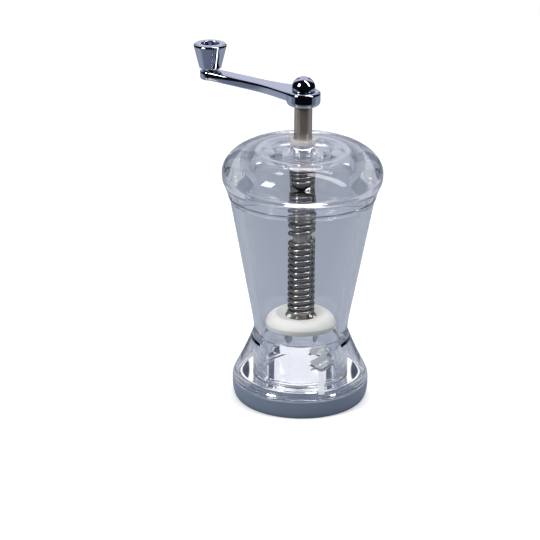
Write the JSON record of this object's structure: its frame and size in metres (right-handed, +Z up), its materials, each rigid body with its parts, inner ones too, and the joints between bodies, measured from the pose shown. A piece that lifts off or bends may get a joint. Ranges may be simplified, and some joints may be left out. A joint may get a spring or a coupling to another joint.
{
  "type": "nutmeg grater",
  "caption": "Hand-cranked nutmeg mill: clear tumbler on a flared foot, domed lid, sprung plunger with claws that press and turn a nutmeg over a serrated blade.",
  "frame": {"origin": "centre of the whole part's footprint at table level; the mill's axis is the vertical line x = 12.7 mm, y = 0, because the crank reaches further on one side", "axes": "+Z up along the shaft; the crank points along -X at rest and turns about the vertical axis"},
  "size_m": [0.0976, 0.0722, 0.1573],
  "materials": {
    "clear_acrylic": "clear, polished",
    "smoke_acrylic_ring": "smooth grey-blue, satin",
    "polished_steel": "mirror polished",
    "stamped_steel": "stamped, satin",
    "spring_steel": "drawn wire, bright",
    "satin_steel": "turned, satin",
    "ivory_nylon": "moulded, half matt",
    "chrome_plate": "plated, bright"
  },
  "bodies": {
    "body": {"hopper_body": "clear_acrylic", "flared_foot": "clear_acrylic", "base_ring": "smoke_acrylic_ring", "blade_disc": "polished_steel", "grating_blade": "stamped_steel", "blade_rivet_1": "stamped_steel", "blade_rivet_2": "stamped_steel"},
    "lid": {"lid_dome": "clear_acrylic", "shaft_bush": "clear_acrylic", "spring_cap_washer": "stamped_steel", "pressure_spring": "spring_steel"},
    "plunger": {"thrust_washer": "stamped_steel"},
    "crank": {"drive_shaft": "satin_steel", "pusher_disc": "ivory_nylon", "claw_plate": "stamped_steel", "claw_screw": "stamped_steel", "crank_arm": "chrome_plate", "cap_nut": "chrome_plate", "knob_pin": "chrome_plate", "knob_washer": "stamped_steel"},
    "knob": {"grip_knob": "chrome_plate"}
  },
  "joints": [
    {"name": "lid_lift", "type": "slide", "parent": "body", "child": "lid", "axis": [0, 0, 1], "range_m": [0, 0.077]},
    {"name": "plunge", "type": "slide", "parent": "lid", "child": "plunger", "axis": [0, 0, 1], "range_m": [-0.0122, 0.025], "stiffness_N_per_m": 300, "springref_m": -0.0205, "deforming": ["pressure_spring"]},
    {"name": "crank_turn", "type": "hinge", "parent": "plunger", "child": "crank", "pos_m": [0.0127, 0, 0.13], "axis": [0, 0, 1], "continuous": true},
    {"name": "knob_spin", "type": "hinge", "parent": "crank", "child": "knob", "pos_m": [-0.0413, 0, 0.151], "axis": [0, 0, 1], "continuous": true}
  ]
}
